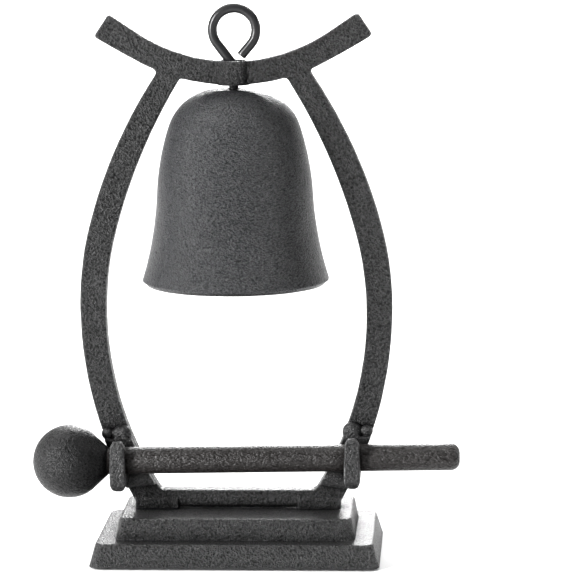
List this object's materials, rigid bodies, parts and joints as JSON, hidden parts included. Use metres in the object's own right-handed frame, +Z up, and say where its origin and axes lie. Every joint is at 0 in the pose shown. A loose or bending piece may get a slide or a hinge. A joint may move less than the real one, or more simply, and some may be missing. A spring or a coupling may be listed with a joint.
{
  "type": "tabletop dinner bell",
  "caption": "Cast bell hung from a turned-wire eye in a bow-topped frame on a stepped base, with a ball mallet lying in two hooks.",
  "frame": {"origin": "on the table plane under the bell's axis and the middle of the base", "axes": "+X to the right along the frame, +Y to the back, +Z up"},
  "size_m": [0.2311, 0.1008, 0.3],
  "materials": {
    "base_iron": "black textured powder coat",
    "frame_iron": "black textured powder coat",
    "hook_iron": "black textured powder coat",
    "bell_iron": "black textured powder coat",
    "wire_steel": "black semi-gloss coat",
    "bare_steel": "zinc plated",
    "mallet_wood": "turned hardwood, black textured paint",
    "handle_wood": "turned hardwood, black textured paint",
    "felt": "pressed felt"
  },
  "bodies": {
    "stand": {"base_casting": "base_iron", "foot_pad_back_left": "felt", "foot_pad_back_right": "felt", "foot_pad_front_left": "felt", "foot_pad_front_right": "felt", "frame_casting": "frame_iron", "frame_screw_left": "bare_steel", "frame_screw_right": "bare_steel", "hook_left": "hook_iron", "hook_right": "hook_iron", "hook_screw_left": "bare_steel", "hook_screw_right": "bare_steel", "lock_washer_left": "bare_steel", "lock_washer_right": "bare_steel"},
    "hanger": {"eye_bolt": "wire_steel", "bell_washer": "bare_steel", "bell_nut": "bare_steel"},
    "bell": {"bell": "bell_iron"},
    "mallet": {"mallet_head": "mallet_wood", "mallet_handle": "handle_wood"}
  },
  "joints": [
    {"name": "hanger_turn", "type": "hinge", "parent": "stand", "child": "hanger", "pos_m": [0, 0, 0.263], "axis": [0, 0, 1], "continuous": true},
    {"name": "bell_swing", "type": "hinge", "parent": "hanger", "child": "bell", "pos_m": [0, 0, 0.25155], "axis": [1, 0, 0], "range_deg": [-4, 4]},
    {"name": "mallet_lift", "type": "slide", "parent": "stand", "child": "mallet", "axis": [-0.42, 0, 0.9075], "range_m": [0, 0.045]}
  ]
}
